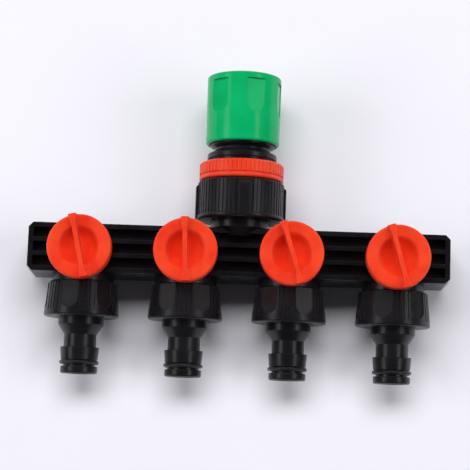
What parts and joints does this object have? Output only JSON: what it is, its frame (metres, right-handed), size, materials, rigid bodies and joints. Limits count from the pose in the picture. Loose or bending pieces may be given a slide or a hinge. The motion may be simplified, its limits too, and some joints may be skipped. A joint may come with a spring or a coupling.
{
  "type": "hose splitter",
  "caption": "Garden hose splitter: ribbed manifold bar with quarter-turn valve knobs, quick-connect outlet spigots and a swivel inlet with a quick coupler.",
  "frame": {"origin": "bottom centre of the bounding box of the fitting as it lies on its back", "axes": "+X along the manifold bar, +Y towards the inlet coupler, +Z towards the knobs"},
  "size_m": [0.1828, 0.1312, 0.0457],
  "materials": {
    "black_plastic": "satin moulded polypropylene",
    "orange_plastic": "satin moulded plastic",
    "green_plastic": "gloss moulded plastic",
    "white_plastic": "natural acetal",
    "rubber": "satin",
    "steel": "drawn wire"
  },
  "bodies": {
    "manifold": {"manifold_body": "black_plastic", "end_plug_left": "black_plastic", "end_plug_right": "black_plastic", "tap_connector_1": "black_plastic", "connector_washer_1": "rubber", "spigot_o_ring_1": "rubber", "valve_bonnet_1": "black_plastic", "bonnet_gasket_1": "rubber", "valve_seat_1": "white_plastic", "tap_connector_2": "black_plastic", "connector_washer_2": "rubber", "spigot_o_ring_2": "rubber", "valve_bonnet_2": "black_plastic", "bonnet_gasket_2": "rubber", "valve_seat_2": "white_plastic", "tap_connector_3": "black_plastic", "connector_washer_3": "rubber", "spigot_o_ring_3": "rubber", "valve_bonnet_3": "black_plastic", "bonnet_gasket_3": "rubber", "valve_seat_3": "white_plastic", "tap_connector_4": "black_plastic", "connector_washer_4": "rubber", "spigot_o_ring_4": "rubber", "valve_bonnet_4": "black_plastic", "bonnet_gasket_4": "rubber", "valve_seat_4": "white_plastic", "inlet_washer": "rubber", "nut_retaining_ring": "steel"},
    "valve_1": {"knob_1": "orange_plastic", "valve_stem_1": "white_plastic", "stem_o_ring_1": "rubber", "valve_ball_1": "white_plastic"},
    "valve_2": {"knob_2": "orange_plastic", "valve_stem_2": "white_plastic", "stem_o_ring_2": "rubber", "valve_ball_2": "white_plastic"},
    "valve_3": {"knob_3": "orange_plastic", "valve_stem_3": "white_plastic", "stem_o_ring_3": "rubber", "valve_ball_3": "white_plastic"},
    "valve_4": {"knob_4": "orange_plastic", "valve_stem_4": "white_plastic", "stem_o_ring_4": "rubber", "valve_ball_4": "white_plastic"},
    "inlet_swivel": {"swivel_nut": "black_plastic", "reducer": "orange_plastic", "reducer_washer": "rubber", "coupler_body": "black_plastic", "socket_front_ring": "black_plastic", "sleeve_spring": "steel"},
    "release_sleeve": {"release_sleeve": "green_plastic"},
    "locking_claw_1": {"locking_claw_1": "white_plastic"},
    "locking_claw_2": {"locking_claw_2": "white_plastic"},
    "locking_claw_3": {"locking_claw_3": "white_plastic"},
    "locking_claw_4": {"locking_claw_4": "white_plastic"}
  },
  "joints": [
    {"name": "valve_turn_1", "type": "hinge", "parent": "manifold", "child": "valve_1", "pos_m": [-0.0669, -0.0131, 0.0197], "axis": [0, 0, 1], "range_deg": [-13.3, 76.7]},
    {"name": "valve_turn_2", "type": "hinge", "parent": "manifold", "child": "valve_2", "pos_m": [-0.0223, -0.0131, 0.0197], "axis": [0, 0, 1], "range_deg": [-2.4, 87.6]},
    {"name": "valve_turn_3", "type": "hinge", "parent": "manifold", "child": "valve_3", "pos_m": [0.0223, -0.0131, 0.0197], "axis": [0, 0, 1], "range_deg": [-17.5, 72.5]},
    {"name": "valve_turn_4", "type": "hinge", "parent": "manifold", "child": "valve_4", "pos_m": [0.0669, -0.0131, 0.0197], "axis": [0, 0, 1], "range_deg": [-15.5, 74.5]},
    {"name": "inlet_swivel_turn", "type": "hinge", "parent": "manifold", "child": "inlet_swivel", "pos_m": [0, -0.0122, 0.0197], "axis": [0, 1, 0], "continuous": true},
    {"name": "sleeve_slide", "type": "slide", "parent": "inlet_swivel", "child": "release_sleeve", "axis": [0, -1, 0], "range_m": [0, 0.004], "stiffness_N_per_m": 600, "springref_m": -0.005, "deforming": ["sleeve_spring"]},
    {"name": "claw_slide_1", "type": "slide", "parent": "inlet_swivel", "child": "locking_claw_1", "axis": [0.7071, 0, 0.7071], "range_m": [0, 0.0016]},
    {"name": "claw_slide_2", "type": "slide", "parent": "inlet_swivel", "child": "locking_claw_2", "axis": [0.7071, 0, -0.7071], "range_m": [0, 0.0016]},
    {"name": "claw_slide_3", "type": "slide", "parent": "inlet_swivel", "child": "locking_claw_3", "axis": [-0.7071, 0, -0.7071], "range_m": [0, 0.0016]},
    {"name": "claw_slide_4", "type": "slide", "parent": "inlet_swivel", "child": "locking_claw_4", "axis": [-0.7071, 0, 0.7071], "range_m": [0, 0.0016]}
  ],
  "couplings": [
    {"joint": "claw_slide_1", "follows": "sleeve_slide", "ratio": 0.375},
    {"joint": "claw_slide_2", "follows": "sleeve_slide", "ratio": 0.375},
    {"joint": "claw_slide_3", "follows": "sleeve_slide", "ratio": 0.375},
    {"joint": "claw_slide_4", "follows": "sleeve_slide", "ratio": 0.375}
  ]
}
